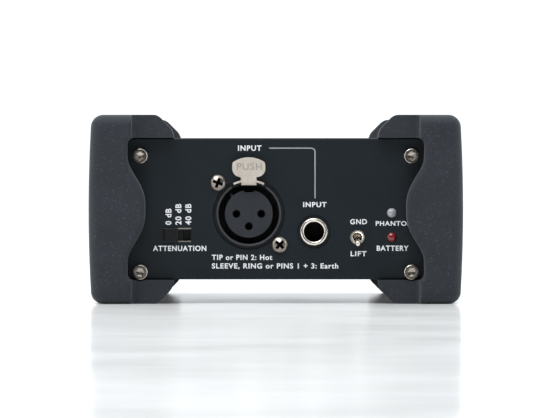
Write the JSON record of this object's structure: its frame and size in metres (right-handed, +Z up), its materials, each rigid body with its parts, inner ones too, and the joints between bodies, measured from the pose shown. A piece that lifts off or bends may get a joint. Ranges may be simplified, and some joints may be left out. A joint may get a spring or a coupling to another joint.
{
  "type": "direct injection box",
  "caption": "Active direct injection box: metal sleeve with rubber corner bumpers, three-pole and jack inputs, pad and ground-lift switches, rear output and battery drawer.",
  "frame": {"origin": "on the ground under the middle of the box", "axes": "+Z up, +Y from the front (input) panel to the rear (output) panel, +X to the right seen from the front"},
  "size_m": [0.1244, 0.15, 0.0628],
  "materials": {
    "rubber": "matte fine-grained rubber",
    "black_paint": "satin powder coat",
    "nickel": "bright nickel",
    "steel": "plain zinc-nickel steel",
    "spring_steel": "satin spring steel",
    "black_plastic": "fine matte moulded plastic",
    "grey_plastic": "matte moulded plastic",
    "contact_metal": "tinned and gilt brass",
    "lamp_clear": "diffused lamp resin",
    "lamp_red": "red lamp resin",
    "board": "green solder mask on glass laminate",
    "core_steel": "stacked laminations",
    "winding_tape": "yellow wrapped tape",
    "can_sleeve": "shrink sleeve",
    "film_body": "dipped resin",
    "resistor_body": "lacquered ceramic",
    "battery_case": "printed steel case"
  },
  "bodies": {
    "housing": {"attenuator_switch_base": "black_plastic", "attenuator_switch_frame": "nickel", "attenuator_terminals": "contact_metal", "battery_bay": "black_plastic", "battery_contacts": "contact_metal", "battery_led": "lamp_red", "bumper_front_left": "rubber", "bumper_front_right": "rubber", "bumper_rear_left": "rubber", "bumper_rear_right": "rubber", "circuit_board": "board", "electrolytic_capacitors": "can_sleeve", "film_capacitors": "film_body", "front_lock_washers": "steel", "front_panel": "black_paint", "front_panel_screws": "nickel", "housing_sleeve": "black_paint", "input_jack_body": "black_plastic", "input_jack_contacts": "contact_metal", "input_jack_ferrule": "nickel", "input_xlr_contacts": "contact_metal", "input_xlr_insert": "grey_plastic", "input_xlr_latch_pin": "steel", "input_xlr_latch_spring": "spring_steel", "input_xlr_screws": "nickel", "input_xlr_shell": "black_plastic", "led_leads": "contact_metal", "lift_switch_body": "black_plastic", "lift_switch_bushing": "nickel", "lift_switch_terminals": "contact_metal", "link_jack_body": "black_plastic", "link_jack_contacts": "contact_metal", "link_jack_ferrule": "nickel", "op_amp_chips": "black_plastic", "op_amp_pins": "contact_metal", "output_xlr_insert": "black_plastic", "output_xlr_pins": "contact_metal", "output_xlr_screws": "nickel", "output_xlr_shell": "black_plastic", "phantom_led": "lamp_clear", "rear_lock_washers": "steel", "rear_panel": "black_paint", "rear_panel_screws": "nickel", "resistors": "resistor_body", "transformer_bobbin": "black_plastic", "transformer_core": "core_steel", "transformer_pins": "contact_metal", "transformer_winding": "winding_tape"},
    "attenuator": {"attenuator_knob": "black_plastic"},
    "lift_lever": {"lift_switch_lever": "nickel"},
    "xlr_latch": {"input_xlr_latch": "nickel"},
    "battery_tray": {"battery_drawer": "black_plastic", "battery": "battery_case", "battery_studs": "contact_metal"}
  },
  "joints": [
    {"name": "attenuator_slide", "type": "slide", "parent": "housing", "child": "attenuator", "axis": [1, 0, 0], "range_m": [0, 0.004]},
    {"name": "lift_toggle", "type": "hinge", "parent": "housing", "child": "lift_lever", "pos_m": [0.0272, -0.0645, 0.0221], "axis": [-1, 0, 0], "range_deg": [0, 25]},
    {"name": "latch_push", "type": "hinge", "parent": "housing", "child": "xlr_latch", "pos_m": [-0.009, -0.058, 0.04155], "axis": [-1, 0, 0], "range_deg": [0, 8], "stiffness_Nm_per_rad": 0.02, "springref_deg": -11.46},
    {"name": "battery_drawer_pull", "type": "slide", "parent": "housing", "child": "battery_tray", "axis": [0, 1, 0], "range_m": [0, 0.045]}
  ]
}
